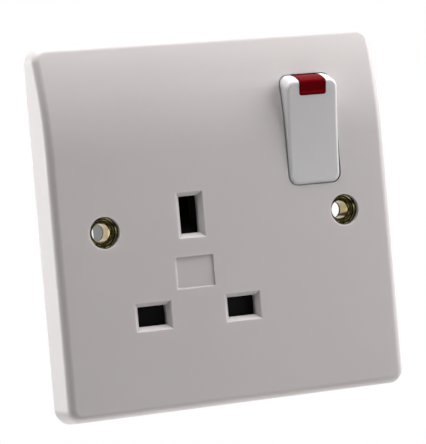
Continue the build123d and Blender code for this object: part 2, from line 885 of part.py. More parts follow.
with BuildPart() as shutter_spring:
    spring_y = (shutter_front + shutter_back) / 2
    spring_foot = (pins_x, spring_y, peg_top + shutter_spring_wire / 2 + seam)
    add(
        coil(
            spring_foot,
            (0, 0, 1),
            stem_window_top - peg_top - 2 * seam,
            shutter_spring_radius,
            shutter_spring_wire,
            shutter_spring_turns,
        )
    )
shutter_spring.part.label = "shutter_spring"

# Rear housing
outline = [
    (housing_left, housing_top),
    (housing_right, housing_top),
    (housing_right, housing_shelf),
    (housing_low_right, housing_shelf),
    (housing_low_right, housing_bottom),
    (housing_left, housing_bottom),
    (housing_left, -housing_shelf),
    (housing_notch, -housing_shelf),
    (housing_notch, housing_shelf),
    (housing_left, housing_shelf),
]
low_edge = housing_bottom - housing_wall

with BuildPart() as housing_block:
    with BuildSketch(facing(inner_y)) as plan:
        with BuildLine():
            Polyline(*outline, close=True)
        make_face()
        fillet(plan.vertices(), housing_corner)
    extrude(amount=inner_y - housing_back)
    with BuildSketch(facing(housing_back)):
        with Locations(((housing_left + housing_right) / 2, (low_edge + housing_step_z) / 2)):
            Rectangle(2 * plate_size, housing_step_z - low_edge)
    extrude(amount=housing_back - housing_low_back, mode=Mode.SUBTRACT)

# Walls, ribs and columns inside the housing: left, right, bottom, top and front of each
full_top = housing_top - housing_wall / 2
pole_left = rocker_x - pole_wall / 2
pole_right = rocker_x + pole_wall / 2
earth_wall_x = (earth_screw_pitch + terminal_width) / 2 + terminal_wall_gap
rail_x = stem_half_width + guide_gap + guide_wall
rail_top = ring_bottom - ring_margin - seam
rail_low = housing_bottom + seam
rail_front = shutter_back + bush_clearance
bus_top = pivot_z + bus_end
inner_walls = [
    (pole_left, pole_right, line_bus_z + bus_width / 2 + rib, full_top, chamber_wall_back),
    (pins_x - earth_wall_x - rib, pins_x - earth_wall_x, housing_step_z, full_top, link_y),
    (pins_x + earth_wall_x, pins_x + earth_wall_x + rib, housing_step_z, full_top, link_y),
    (pins_x - rail_x - rib, pins_x - rail_x, rail_low, rail_top, rail_front),
    (pins_x + rail_x, pins_x + rail_x + rib, rail_low, rail_top, rail_front),
    (neutral_bus_x, neutral_pole_x, neutral_bus_z - rib / 2, neutral_bus_z + rib / 2, neutral_bus_back),
    (neutral_bus_x - rib / 2, neutral_bus_x + rib / 2, line_pins_z, neutral_bus_z, neutral_bus_back),
    (neutral_pole_x - rib / 2, neutral_pole_x + rib / 2, neutral_bus_z, bus_top, neutral_bus_back),
    (line_bus_x, line_pole_x, line_bus_z - rib / 2, line_bus_z + rib / 2, line_bus_back),
    (line_bus_x - rib / 2, line_bus_x + rib / 2, line_pins_z, line_bus_z, line_bus_back),
    (line_x, line_bus_x, line_pins_z - rib / 2, line_pins_z + rib / 2, line_bus_back),
    (line_pole_x - rib / 2, line_pole_x + rib / 2, line_bus_z, bus_top, line_bus_back),
]
pole_wall_front = fulcrum_y - arm_half_length * sin(tilt) - arm_thickness
with BuildPart() as housing_walls:
    for left, right, low, high, wall_front in inner_walls:
        with BuildSketch(facing(wall_front)):
            with Locations(((left + right) / 2, (low + high) / 2)):
                Rectangle(right - left, high - low)
        extrude(amount=wall_front - housing_back)
    with BuildSketch(facing(post_back + seam)):
        with Locations(*housing_screw_points):
            Circle(column_radius)
    extrude(amount=post_back + seam - housing_back)
    with BuildSketch(facing(cheek_back + bush_clearance)):
        with Locations((chamber_left - cheek_wall / 2, (housing_shelf + full_top) / 2)):
            Rectangle(cheek_wall, full_top - housing_shelf)
    extrude(amount=cheek_back + bush_clearance - chamber_wall_back)
    with BuildSketch(facing(pole_wall_front)):
        with Locations((rocker_x, (housing_shelf + full_top) / 2)):
            Rectangle(pole_wall, full_top - housing_shelf)
    extrude(amount=pole_wall_front - chamber_wall_back - seam)
    tongue_front = pivot_y + trunnion_radius + running_clearance
    with BuildSketch(facing(tongue_front)):
        for side in (-1, 1):
            with Locations((rocker_x + side * (well_half_width + cheek_wall / 2), pivot_z)):
                Rectangle(cheek_wall, 2 * (trunnion_radius - running_clearance))
    extrude(amount=tongue_front)
    add(housing_block.part, mode=Mode.INTERSECT)

with BuildPart() as rear_housing:
    add(housing_block.part)
    with BuildSketch(facing(inner_y)):
        with BuildLine():
            Polyline(*outline, close=True)
        make_face()
        offset(amount=-housing_wall, kind=Kind.INTERSECTION, mode=Mode.REPLACE)
    extrude(amount=inner_y - low_floor, mode=Mode.SUBTRACT)
    pocket_low = housing_step_z + housing_wall
    with BuildSketch(facing(low_floor)):
        with Locations(((housing_left + housing_right) / 2, (pocket_low + inner_top) / 2)):
            Rectangle(housing_right - housing_left - 2 * housing_wall, inner_top - pocket_low)
    extrude(amount=low_floor - inner_floor, mode=Mode.SUBTRACT)
    with BuildSketch(facing(inner_y)):
        with Locations((chamber_right + cheek_wall / 2, pivot_z)):
            Rectangle(cheek_wall, cheek_height + 2 * bush_clearance)
    extrude(amount=inner_y - cheek_back - bush_clearance, mode=Mode.SUBTRACT)
    with BuildSketch(facing(inner_y)):
        with Locations((rocker_x, housing_shelf + (housing_wall - housing_corner) / 2)):
            Rectangle(2 * well_half_width, housing_wall + housing_corner + 2 * bush_clearance)
    extrude(amount=inner_y - plunger_tip_gap, mode=Mode.SUBTRACT)
    add(housing_walls.part)
    strap_slot = strap_width + 2 * running_clearance
    with BuildSketch(facing(inner_y)):
        Rectangle(fixing_pitch, strap_slot)
    extrude(amount=inner_y - clip_flange_y - bush_clearance, mode=Mode.SUBTRACT)
    with BuildSketch(facing(inner_y)):
        with Locations(*housing_screw_points):
            Circle(post_radius + 2 * seam)
    extrude(amount=inner_y - post_back - seam, mode=Mode.SUBTRACT)
    with BuildSketch(facing(post_back)):
        with Locations(*housing_screw_points):
            Circle(housing_screw_hole)
    extrude(amount=post_back - housing_back, mode=Mode.SUBTRACT)
    with BuildSketch(facing(head_seat)):
        with Locations(*housing_screw_points):
            Circle(housing_head_radius + guide_gap)
    extrude(amount=head_seat - housing_back, mode=Mode.SUBTRACT)
    with BuildSketch(facing(low_floor)):
        with Locations(*screw_heads):
            Circle(terminal_head_radius + guide_gap)
    extrude(amount=low_floor - housing_back, mode=Mode.SUBTRACT)
    entry = 2 * (wire_bore + entry_clearance)
    with BuildSketch(Plane.XY.offset(inner_top - housing_wall)):
        with Locations((line_terminal_x, wire_y), (neutral_terminal_x, wire_y)):
            Rectangle(entry, entry)
        with Locations((pins_x, wire_y)):
            Rectangle(earth_screw_pitch + entry, entry)
    extrude(amount=3 * housing_wall, mode=Mode.SUBTRACT)
    with BuildSketch(across(0)):
        crown_profile(plate_wall + seam, housing_back + seam)
    extrude(amount=plate_size, both=True, mode=Mode.INTERSECT)
rear_housing.part.label = "rear_housing"

with BuildPart() as housing_screws:
    with BuildSketch(facing(housing_screw_tip)):
        with Locations(*housing_screw_points):
            Circle(housing_screw_radius)
    extrude(amount=housing_screw_tip - head_seat)
    with BuildSketch(facing(head_seat)):
        with Locations(*housing_screw_points):
            Circle(housing_head_radius)
    extrude(amount=-housing_head)
    chamfer(housing_screws.edges().filter_by(GeomType.CIRCLE).group_by(Axis.Y)[-1], edge_break)
    with BuildSketch(facing(head_seat + housing_head)):
        with Locations(*housing_screw_points):
            Rectangle(2 * housing_head_radius, slot_width)
    extrude(amount=slot_depth, mode=Mode.SUBTRACT)
housing_screws.part.label = "housing_screws"

pieces = [
    front_plate,
    left_bush,
    right_bush,
    earth_strap,
    earth_clip,
    earth_link,
    rocker,
    neon_lens,
    neon_lamp,
    neon_resistor,
    neon_leads,
    line_plunger,
    neutral_plunger,
    line_plunger_spring,
    neutral_plunger_spring,
    line_arm,
    neutral_arm,
    line_arm_contact,
    neutral_arm_contact,
    line_terminal_plate,
    neutral_terminal_plate,
    fixed_contacts,
    line_terminal,
    neutral_terminal,
    earth_terminal,
    terminal_screws,
    line_busbar,
    neutral_busbar,
    line_pin_clip,
    neutral_pin_clip,
    shutter,
    shutter_spring,
    rear_housing,
    housing_screws,
]
os.makedirs("parts", exist_ok=True)
for piece in pieces:
    export_step(piece.part, f"parts/{piece.part.label}.step")
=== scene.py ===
"""Looks of the switched wall socket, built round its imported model.

Metres, in the frame of the model: +X to the right, +Z up, +Y into the wall.
"""

import logging
import math
from dataclasses import dataclass
from enum import Enum

import bmesh
import bpy
from mathutils import Matrix, Vector


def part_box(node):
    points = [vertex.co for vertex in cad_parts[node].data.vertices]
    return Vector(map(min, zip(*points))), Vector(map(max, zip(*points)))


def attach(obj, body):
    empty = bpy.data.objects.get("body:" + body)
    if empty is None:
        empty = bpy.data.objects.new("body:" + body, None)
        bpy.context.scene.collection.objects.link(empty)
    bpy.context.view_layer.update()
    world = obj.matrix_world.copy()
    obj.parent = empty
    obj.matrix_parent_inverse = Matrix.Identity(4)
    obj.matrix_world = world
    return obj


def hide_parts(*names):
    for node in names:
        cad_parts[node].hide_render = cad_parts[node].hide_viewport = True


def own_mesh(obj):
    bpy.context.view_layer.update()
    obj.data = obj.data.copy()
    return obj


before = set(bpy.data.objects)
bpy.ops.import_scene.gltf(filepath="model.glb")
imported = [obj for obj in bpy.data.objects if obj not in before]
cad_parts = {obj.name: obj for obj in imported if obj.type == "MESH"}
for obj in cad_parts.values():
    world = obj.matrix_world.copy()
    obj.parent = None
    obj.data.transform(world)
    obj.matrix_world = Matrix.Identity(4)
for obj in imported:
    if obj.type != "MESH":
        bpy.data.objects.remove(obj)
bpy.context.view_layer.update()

log = logging.getLogger("wall_socket")

Colour = tuple[float, float, float]
Triple = tuple[float, float, float]
Range = tuple[float, float]
ProfilePoint = tuple[float, float]
Socket = bpy.types.NodeSocket
Value = Socket | float | tuple[float, ...]

MM = 0.001
MERGE_DISTANCE = 1e-6
SHARP_ANGLE = math.radians(34.0)
FLAT_ANGLE = math.radians(0.2)
NONE_TO_ALL: Range = (0.0, 1.0)
NOISE_MIDDLE: Range = (0.3, 0.7)
WHITE = (1.0, 1.0, 1.0, 1.0)
POLES = ("line", "neutral")
ROCKER_PIVOT = Vector((23.15 * MM, -4.80 * MM, 19.45 * MM))
ROCKER_TILT = math.radians(8.0)
ROCKER_UP = Vector((0.0, -math.sin(ROCKER_TILT), math.cos(ROCKER_TILT)))
ROCKER_OUT = Vector((0.0, -math.cos(ROCKER_TILT), -math.sin(ROCKER_TILT)))


class Body(Enum):
    """Bodies of the mechanism that a new piece can ride on."""

    SOCKET = "socket"
    ROCKER = "rocker_assembly"
    SHUTTER = "shutter_body"


class Graph:
    """Nodes of a material or a world, with short calls that add and join them."""

    def __init__(self, owner: bpy.types.Material | bpy.types.World) -> None:
        """Turns the owner's nodes on.

        Args:
            owner: new material or world.
        """
        owner.use_nodes = True
        self.tree = owner.node_tree

    def feed(self, socket: Socket, value: Value) -> None:
        """Joins another node's output to a socket, or sets the socket's own value.

        Args:
            socket: input to fill.
            value: an output socket, or a plain value.
        """
        if isinstance(value, Socket):
            self.tree.links.new(value, socket)
        else:
            socket.default_value = value

    def add(
        self, kind: str, inputs: dict[str | int, Value] | None = None, **settings: object
    ) -> bpy.types.Node:
        """Adds a node.

        Args:
            kind: Blender's name for the node type.
            inputs: values or sockets by input name or index.
            settings: the node's own properties.

        Returns:
            The new node.
        """
        node = self.tree.nodes.new(kind)
        for key, value in settings.items():
            setattr(node, key, value)
        for key, value in (inputs or {}).items():
            self.feed(node.inputs[key], value)
        return node

    def compute(self, operation: str, *values: Value) -> Socket:
        """Adds a Math node.

        Args:
            operation: Blender's name for the operation.
            values: its inputs in their order.

        Returns:
            The value output.
        """
        node = self.add("ShaderNodeMath", dict(enumerate(values)), operation=operation)
        return node.outputs["Value"]

    def ranged(self, value: Value, source: Range, target: Range = NONE_TO_ALL) -> Socket:
        """Maps a value from one range to another, clamped at its ends.

        Args:
            value: value to map.
            source: lowest and highest value that comes in.
            target: what those become.

        Returns:
            The result output.
        """
        low, high = source
        first, last = target
        values = {"Value": value, "From Min": low, "From Max": high, "To Min": first, "To Max": last}
        return self.add("ShaderNodeMapRange", values).outputs["Result"]

    def sees_white(self) -> Socket:
        """Tells the rays that show the white background from those that light the object.

        Returns:
            An output of 1 for the camera's rays and for those that metal reflects or glass lets
            through, as long as none has met a matt surface before, and otherwise 0.
        """
        rays = self.add("ShaderNodeLightPath").outputs
        seen = rays["Is Camera Ray"]
        for kind in ("Is Glossy Ray", "Is Transmission Ray"):
            seen = self.compute("MAXIMUM", seen, rays[kind])
        direct = self.compute("LESS_THAN", rays["Diffuse Depth"], 0.5)
        return self.compute("MULTIPLY", seen, direct)


class Surface(Graph):
    """Nodes of one new material, round its shader."""

    def __init__(self, name: str) -> None:
        """Makes the material.

        Args:
            name: name of the material.
        """
        self.material = bpy.data.materials.new(name)
        super().__init__(self.material)
        self.shader = self.tree.nodes["Principled BSDF"]

    def fill(self, inputs: dict[str, Value]) -> None:
        """Fills inputs of the shader.

        Args:
            inputs: values or sockets by input name.
        """
        for name, value in inputs.items():
            self.feed(self.shader.inputs[name], value)

    def place(
        self, centre: Triple = (0.0, 0.0, 0.0), stretch: Triple = (1.0, 1.0, 1.0)
    ) -> Socket:
        """Object coordinates, moved to a centre and stretched.

        Args:
            centre: point that becomes the pattern's origin.
            stretch: scale along each axis.

        Returns:
            The vector output.
        """
        coordinates = self.add("ShaderNodeTexCoord").outputs["Object"]
        shift = tuple(-part * scale for part, scale in zip(centre, stretch))
        values = {"Vector": coordinates, "Location": shift, "Scale": stretch}
        return self.add("ShaderNodeMapping", values).outputs["Vector"]

    def distance(self, place: Socket) -> Socket:
        """Distance of each point from the pattern's origin.

        Args:
            place: coordinates.

        Returns:
            The value output.
        """
        return self.add("ShaderNodeVectorMath", {0: place}, operation="LENGTH").outputs["Value"]

    def noise(self, place: Socket, waves: float, detail: float = 3.0) -> Socket:
        """Fractal noise from 0 to 1.

        Args:
            place: coordinates.
            waves: waves per metre.
            detail: octaves.

        Returns:
            The factor output.
        """
        values = {"Vector": place, "Scale": waves, "Detail": detail}
        return self.add("ShaderNodeTexNoise", values).outputs["Fac"]

    def blend(self, factor: Socket, first: Socket | Colour, second: Socket | Colour) -> Socket:
        """Mixes two colours.

        Args:
            factor: 0 for the first, 1 for the second.
            first: colour or colour output.
            second: colour or colour output.

        Returns:
            The colour output.
        """
        start, end = [(*tint, 1.0) if isinstance(tint, tuple) else tint for tint in (first, second)]
        mix = self.add("ShaderNodeMix", {0: factor, 6: start, 7: end}, data_type="RGBA")
        return mix.outputs[2]

    def relief(self, height: Socket, depth: float, strength: float = 1.0) -> None:
        """Bumps the surface by a height.

        Args:
            height: height from 0 to 1.
            depth: metres that a height of 1 stands for.
            strength: share of the bump that shows.
        """
        values = {"Height": height, "Distance": depth, "Strength": strength}
        self.fill({"Normal": self.add("ShaderNodeBump", values).outputs["Normal"]})


@dataclass(frozen=True)
class MouldedPlastic:
    """Moulded plastic with a faint mottle, a fine grain and a soft gloss.

    Where it has a glow, it lets light in to the glow's depth, in the shares of its radii for red,
    green and blue.
    """

    name: str
    colour: Colour
    shade: Colour
    gloss: Range = (0.34, 0.44)
    grain_waves: float = 1600.0
    grain_depth: float = 4e-6
    mottle_waves: float = 45.0
    mottle_middle: Range = (0.35, 0.65)
    shine: float = 0.5
    glow: float = 0.0
    glow_depth: float = 1.2 * MM
    glow_radii: Triple = (1.0, 0.95, 0.90)

    def material(self) -> bpy.types.Material:
        """Builds the material.

        Returns:
            The new material.
        """
        surface = Surface(self.name)
        place = surface.place()
        flow = surface.noise(place, self.mottle_waves, detail=4.0)
        grain = surface.noise(place, self.grain_waves, detail=2.0)
        mottle = surface.ranged(flow, self.mottle_middle)
        surface.fill({
            "Base Color": surface.blend(mottle, self.colour, self.shade),
            "Roughness": surface.ranged(grain, NOISE_MIDDLE, self.gloss),
            "Specular IOR Level": self.shine,
            "Subsurface Weight": self.glow,
            "Subsurface Radius": self.glow_radii,
            "Subsurface Scale": self.glow_depth,
        })
        surface.relief(grain, self.grain_depth)
        return surface.material


@dataclass(frozen=True)
class TintedLens:
    """Deep red moulded plastic with painted shade along its edges and a painted reflection: a
    brighter band above its lower edge.

    The places of its edges and band are shares of its half size, counted from its middle.
    """

    name: str
    centre: Triple
    half_size: Triple
    colour: Colour = (0.145, 0.0008, 0.0032)
    # Painted shade along the sides and the foot, and random darker clouds, share this colour.
    deep: Colour = (0.055, 0.0008, 0.0035)
    # Painted reflection: the brighter red of the band above the lower edge.
    band: Colour = (0.340, 0.0030, 0.0030)
    side_edge: Range = (0.84, 0.97)
    foot_edge: Range = (-0.96, -0.88)
    band_height: float = -0.72
    band_edge: Range = (0.02, 0.14)
    band_share: float = 0.85
    cloud_waves: float = 700.0
    cloud_share: float = 0.35
    grain_waves: float = 900.0
    gloss: Range = (0.10, 0.18)
    shine: float = 0.015

    def material(self) -> bpy.types.Material:
        """Builds the material.

        Returns:
            The new material.
        """
        surface = Surface(self.name)
        shares = surface.place(self.centre, tuple(1.0 / half for half in self.half_size))
        across, _, up = surface.add("ShaderNodeSeparateXYZ", {0: shares}).outputs
        place = surface.place()
        # Painted shade: darker along the sides and at the foot.
        sides = surface.ranged(surface.compute("ABSOLUTE", across), self.side_edge)
        foot = surface.ranged(up, self.foot_edge, (1.0, 0.0))
        clouds = surface.noise(place, self.cloud_waves)
        cloud = surface.ranged(clouds, NOISE_MIDDLE, (0.0, self.cloud_share))
        dark = surface.compute("MAXIMUM", surface.compute("MAXIMUM", sides, foot), cloud)
        # Painted reflection: the band above the lower edge.
        off_band = surface.compute("ABSOLUTE", surface.compute("SUBTRACT", up, self.band_height))
        lit = surface.ranged(off_band, self.band_edge, (self.band_share, 0.0))
        body = surface.blend(lit, self.colour, self.band)
        grain = surface.noise(place, self.grain_waves)
        surface.fill({
            "Base Color": surface.blend(dark, body, self.deep),
            "Roughness": surface.ranged(grain, NOISE_MIDDLE, self.gloss),
            "Specular IOR Level": self.shine,
        })
        return surface.material


@dataclass(frozen=True)
class LampGlass:
    """Thin clear glass with a slight ripple."""

    name: str
    colour: Colour = (0.98, 0.96, 0.93)
    roughness: float = 0.02
    ripple_waves: float = 400.0
    ripple_depth: float = 2e-5

    def material(self) -> bpy.types.Material:
        """Builds the material.

        Returns:
            The new material.
        """
        surface = Surface(self.name)
        surface.fill({
            "Base Color": (*self.colour, 1.0),
            "Transmission Weight": 1.0,
            "Roughness": self.roughness,
        })
        ripple = surface.noise(surface.place(), self.ripple_waves, detail=1.0)
        surface.relief(ripple, self.ripple_depth)
        return surface.material


@dataclass(frozen=True)
class TurnedMetal:
    """Turned metal, tarnished in patches, with fine rings round an axis along Y."""

    name: str
    colour: Colour
    tarnish: Colour
    gloss: Range = (0.22, 0.42)
    patch_waves: float = 420.0
    patch_middle: Range = (0.35, 0.75)
    rings: float = 2600.0
    ring_wobble: float = 0.6
    ring_depth: float = 6e-6
    ring_strength: float = 0.6

    def material(self) -> bpy.types.Material:
        """Builds the material.

        Returns:
            The new material.
        """
        surface = Surface(self.name)
        place = surface.place()
        noise = surface.noise(place, self.patch_waves, detail=5.0)
        patches = surface.ranged(noise, self.patch_middle)
        rings = surface.add(
            "ShaderNodeTexWave",
            {
                "Vector": place,
                "Scale": self.rings / math.tau,
                "Distortion": self.ring_wobble,
                "Detail": 2.0,
            },
            wave_type="RINGS",
            rings_direction="Y",
        )
        surface.fill({
            "Base Color": surface.blend(patches, self.colour, self.tarnish),
            "Roughness": surface.ranged(patches, NONE_TO_ALL, self.gloss),
            "Metallic": 1.0,
        })
        surface.relief(rings.outputs["Fac"], self.ring_depth, self.ring_strength)
        return surface.material


@dataclass(frozen=True)
class BushBrass:
    """Turned brass of a fixing bush: a bright bore inside a flange with a painted dark reflection,
    and thin bright rings painted as highlights.

    The painted dark reflection starts and is full at two distances outside of the bore, and the
    painted highlight rings are given by their radii. The highlights are broken up by noise.
    """

    name: str
    centre: Triple
    bore: float
    bright: Colour = (0.34, 0.255, 0.11)
    # Painted dark reflection: near-black colour of the flange, standing for the dark surroundings it
    # reflects.
    painted_dark_reflection: Colour = (0.024, 0.021, 0.007)
    # Painted highlight: pale brass of thin bright rings on the flange's edges.
    painted_ring_highlight: Colour = (0.62, 0.54, 0.30)
    dark_reflection_edge: Range = (0.02 * MM, 0.12 * MM)
    highlight_ring_radii: Triple = (2.30 * MM, 2.92 * MM, 3.42 * MM)
    ring_width: float = 0.07 * MM
    highlight_break_waves: float = 900.0
    highlight_break_middle: Range = (0.42, 0.62)
    gloss: Range = (0.16, 0.34)
    grain_waves: float = 2400.0
    grain_stretch: Triple = (1.0, 0.15, 1.0)
    grain_depth: float = 8e-6
    grain_strength: float = 0.7

    def material(self) -> bpy.types.Material:
        """Builds the material.

        Returns:
            The new material.
        """
        surface = Surface(self.name)
        radius = surface.distance(surface.place(self.centre, (1.0, 0.0, 1.0)))
        start, full = self.dark_reflection_edge
        flange = surface.ranged(radius, (self.bore + start, self.bore + full))
        # Painted highlights: thin rings at given radii, broken up by noise.
        rings: Value = 0.0
        for ring in self.highlight_ring_radii:
            near = surface.compute("COMPARE", radius, ring, self.ring_width)
            rings = surface.compute("MAXIMUM", rings, near)
        highlight_breaks = surface.noise(surface.place(self.centre), self.highlight_break_waves, detail=4.0)
        ring_highlights = surface.compute("MULTIPLY", rings, surface.ranged(highlight_breaks, self.highlight_break_middle))
        # Painted dark reflection over the flange, outside the bright bore.
        body = surface.blend(flange, self.bright, self.painted_dark_reflection)
        surface.fill({
            # Painted highlights laid over the flange.
            "Base Color": surface.blend(ring_highlights, body, self.painted_ring_highlight),
            "Roughness": surface.ranged(flange, NONE_TO_ALL, self.gloss),
            "Metallic": 1.0,
        })
        grain_place = surface.place(self.centre, self.grain_stretch)
        grain = surface.noise(grain_place, self.grain_waves, detail=2.0)
        surface.relief(grain, self.grain_depth, self.grain_strength)
        return surface.material


@dataclass(frozen=True)
class RolledMetal:
    """Rolled strip with streaks along one axis and stains in patches."""

    name: str
    colour: Colour
    stain: Colour
    gloss: Range = (0.25, 0.45)
    streak_waves: Triple = (60.0, 1500.0, 1500.0)
    streak_depth: float = 3e-6
    stain_waves: float = 160.0
    stain_middle: Range = (0.45, 0.8)

    def material(self) -> bpy.types.Material:
        """Builds the material.

        Returns:
            The new material.
        """
        surface = Surface(self.name)
        streaks = surface.noise(surface.place(stretch=self.streak_waves), 1.0)
        noise = surface.noise(surface.place(), self.stain_waves, detail=4.0)
        stains = surface.ranged(noise, self.stain_middle)
        surface.fill({
            "Base Color": surface.blend(stains, self.colour, self.stain),
            "Roughness": surface.ranged(streaks, NOISE_MIDDLE, self.gloss),
            "Metallic": 1.0,
        })
        surface.relief(streaks, self.streak_depth)
        return surface.material


def dress(node: str, material: bpy.types.Material) -> None:
    """Gives a CAD node a finish and leaves its shape as it is.

    Args:
        node: name of the node.
        material: its finish.
    """
    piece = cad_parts[node]
    piece.data.materials.clear()
    piece.data.materials.append(material)
    log.info("dressed %s with %s", node, material.name)


def place_piece(
    form: bmesh.types.BMesh, name: str, material: bpy.types.Material, body: Body, node: str
) -> bpy.types.Object:
    """Makes a finished mesh an object that rides on a body and stands for a CAD node.

    Args:
        form: the finished shape, which is freed.
        name: name of the piece.
        material: its finish.
        body: body that carries it.
        node: CAD node that it stands for.

    Returns:
        The new object.
    """
    mesh = bpy.data.meshes.new(name)
    for face in form.faces:
        face.smooth = True
    form.to_mesh(mesh)
    form.free()
    mesh.set_sharp_from_angle(angle=SHARP_ANGLE)
    mesh.materials.append(material)
    piece = bpy.data.objects.new(name, mesh)
    bpy.context.scene.collection.objects.link(piece)
    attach(piece, body.value)
    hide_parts(node)
    log.info("built %s, %d faces, on %s", name, len(mesh.polygons), body.value)
    return piece


def merged_copy(node: str) -> bmesh.types.BMesh:
    """Copies a CAD node and joins its loose triangles.

    Args:
        node: name of the node.

    Returns:
        The new shape.
    """
    form = bmesh.new()
    form.from_mesh(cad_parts[node].data)
    bmesh.ops.remove_doubles(form, verts=form.verts, dist=MERGE_DISTANCE)
    return form


def worked_copy(node: str, edge: float) -> bmesh.types.BMesh:
    """Copies a CAD node, joins its flats and rounds its sharp edges over.

    Args:
        node: name of the node.
        edge: width of the rounding, in metres.

    Returns:
        The new shape.
    """
    form = merged_copy(node)
    bmesh.ops.dissolve_limit(
        form, angle_limit=FLAT_ANGLE, verts=form.verts, edges=form.edges, delimit=set()
    )
    edges = [e for e in form.edges if e.is_manifold and e.calc_face_angle(0.0) > SHARP_ANGLE]
    bmesh.ops.bevel(
        form,
        geom=edges,
        offset=edge,
        offset_type="OFFSET",
        segments=2,
        profile=0.5,
        affect="EDGES",
        clamp_overlap=True,
        material=-1,
    )
    return form


def weigh_normals(piece: bpy.types.Object) -> None:
    """Lets the large flats of a piece set the shading of the small faces beside them.

    Args:
        piece: the piece.
    """
    modifier = piece.modifiers.new("weighted_normals", "WEIGHTED_NORMAL")
    modifier.keep_sharp = True
    modifier.weight = 60


@dataclass
class Faceplate:
    """Crowned white plate with its pin openings, wells and bosses.

    The rocker's well is found by its half width and by how far its ends are from the pivot's axis,
    and its walls by how little they face out of it. Those walls get a darker white, as painted
    shade.
    """

    edge: float = 0.18 * MM
    well_half: float = 7.0 * MM
    well_reach: float = 13.52 * MM
    well_corner: float = 2.5 * MM
    side_draw: float = 0.22 * MM
    end_draw: float = 0.17 * MM
    wall_facing: float = 0.5
    finish: MouldedPlastic = MouldedPlastic(
        "white_plate", (0.662, 0.622, 0.619), (0.650, 0.612, 0.609), glow=0.8
    )
    # Painted shade: a darker white for the walls of the rocker's well, so that the gap round the
    # rocker looks dark.
    well_painted_shade: MouldedPlastic = MouldedPlastic(
        "white_plate_painted_shade", (0.38, 0.36, 0.35), (0.36, 0.34, 0.33)
    )

    def in_well(self, point: Vector, margin: float) -> bool:
        """Tells whether a point lies in the rocker's well or in a margin round it.

        Args:
            point: the point.
            margin: width of the margin.

        Returns:
            Whether it does.
        """
        offset = point - ROCKER_PIVOT
        reach = math.hypot(offset.y, offset.z)
        return abs(offset.x) < self.well_half + margin and reach < self.well_reach + margin

    def narrow_well(self, form: bmesh.types.BMesh) -> None:
        """Draws the rim of the rocker's well in, to the thin gap that shows round the rocker.

        Args:
            form: shape of the plate.
        """
        for vert in form.verts:
            if self.in_well(vert.co, 2 * self.edge):
                offset = vert.co - ROCKER_PIVOT
                reach = math.hypot(offset.y, offset.z)
                aside = (abs(offset.x) - self.well_half + self.well_corner) / self.well_corner
                along = (reach - self.well_reach + self.well_corner) / self.well_corner
                vert.co.x -= math.copysign(self.side_draw * min(max(aside, 0.0), 1.0), offset.x)
                inward = Vector((0.0, offset.y, offset.z)) / max(reach, MM)
                vert.co -= inward * self.end_draw * min(max(along, 0.0), 1.0)

    def paint_well_shade(self, form: bmesh.types.BMesh) -> None:
        """Gives the walls of the rocker's well a darker white that lets no light in, as painted
        shade.

        Args:
            form: shape of the plate.
        """
        for face in form.faces:
            is_wall = abs(face.normal.dot(ROCKER_OUT)) < self.wall_facing
            if is_wall and self.in_well(face.calc_center_median(), self.edge):
                face.material_index = 1

    def build(self) -> None:
        """Builds and places the plate."""
        form = worked_copy("front_plate", self.edge)
        self.narrow_well(form)
        self.paint_well_shade(form)
        plate = place_piece(form, "plate", self.finish.material(), Body.SOCKET, "front_plate")
        # The second slot holds the painted shade of the well's walls.
        plate.data.materials.append(self.well_painted_shade.material())
        weigh_normals(plate)


@dataclass
class FixingBush:
    """Brass bush of one fixing hole, turned from its profile.

    The rings in the face of its flange are points of the profile: the distance in from the
    flange's edge, and the depth.
    """

    name: str
    node: str
    flange: float = 3.55 * MM
    tube: float = 2.6 * MM
    bore: float = 2.1 * MM
    thickness: float = 0.8 * MM
    lip: float = 0.9 * MM
    lip_wall: float = 0.07 * MM
    lip_foot: float = 0.08 * MM
    rings: tuple[ProfilePoint, ...] = (
        (0.15 * MM, 0.0),
        (0.42 * MM, 0.0),
        (0.50 * MM, 0.12 * MM),
        (0.58 * MM, 0.12 * MM),
        (0.66 * MM, 0.02 * MM),
        (0.78 * MM, 0.02 * MM),
    )
    dish_depth: float = 1.15 * MM
    dish_steps: int = 8
    steps: int = 72

    def profile(self) -> list[ProfilePoint]:
        """Half section of the bush.

        Returns:
            Radius and depth behind the front of the flange, point by point.
        """
        low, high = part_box(self.node)
        length = high.y - low.y
        lip_inside = self.flange - self.lip_wall
        rim = [
            (self.flange, self.thickness),
            (self.flange, -self.lip),
            (lip_inside, -self.lip),
            (lip_inside, -self.lip_foot),
        ]
        rim += [(self.flange - inward, depth) for inward, depth in self.rings]
        dish_radius, dish_top = rim[-1]
        dish = []
        for step in range(1, self.dish_steps + 1):
            turn = step / self.dish_steps * math.pi / 2
            radius = dish_radius + (self.bore - dish_radius) * math.sin(turn)
            depth = self.dish_depth + (dish_top - self.dish_depth) * math.cos(turn)
            dish.append((radius, depth))
        back = [(self.bore, length), (self.tube, length), (self.tube, self.thickness)]
        return rim + dish + back

    def build(self) -> None:
        """Turns and places the bush."""
        low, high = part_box(self.node)
        centre = Vector(((low.x + high.x) / 2, low.y, (low.z + high.z) / 2))
        form = bmesh.new()
        points = []
        for radius, depth in self.profile():
            points.append(form.verts.new(centre + Vector((radius, depth, 0.0))))
        edges = [form.edges.new(pair) for pair in zip(points, points[1:] + points[:1])]
        bmesh.ops.spin(
            form,
            geom=points + edges,
            cent=centre,
            axis=(0.0, 1.0, 0.0),
            angle=math.tau,
            steps=self.steps,
            use_merge=True,
        )
        bmesh.ops.remove_doubles(form, verts=form.verts, dist=MERGE_DISTANCE)
        bmesh.ops.recalc_face_normals(form, faces=form.faces)
        finish = BushBrass(f"{self.name}_brass", tuple(centre), self.bore)
        place_piece(form, self.name, finish.material(), Body.SOCKET, self.node)


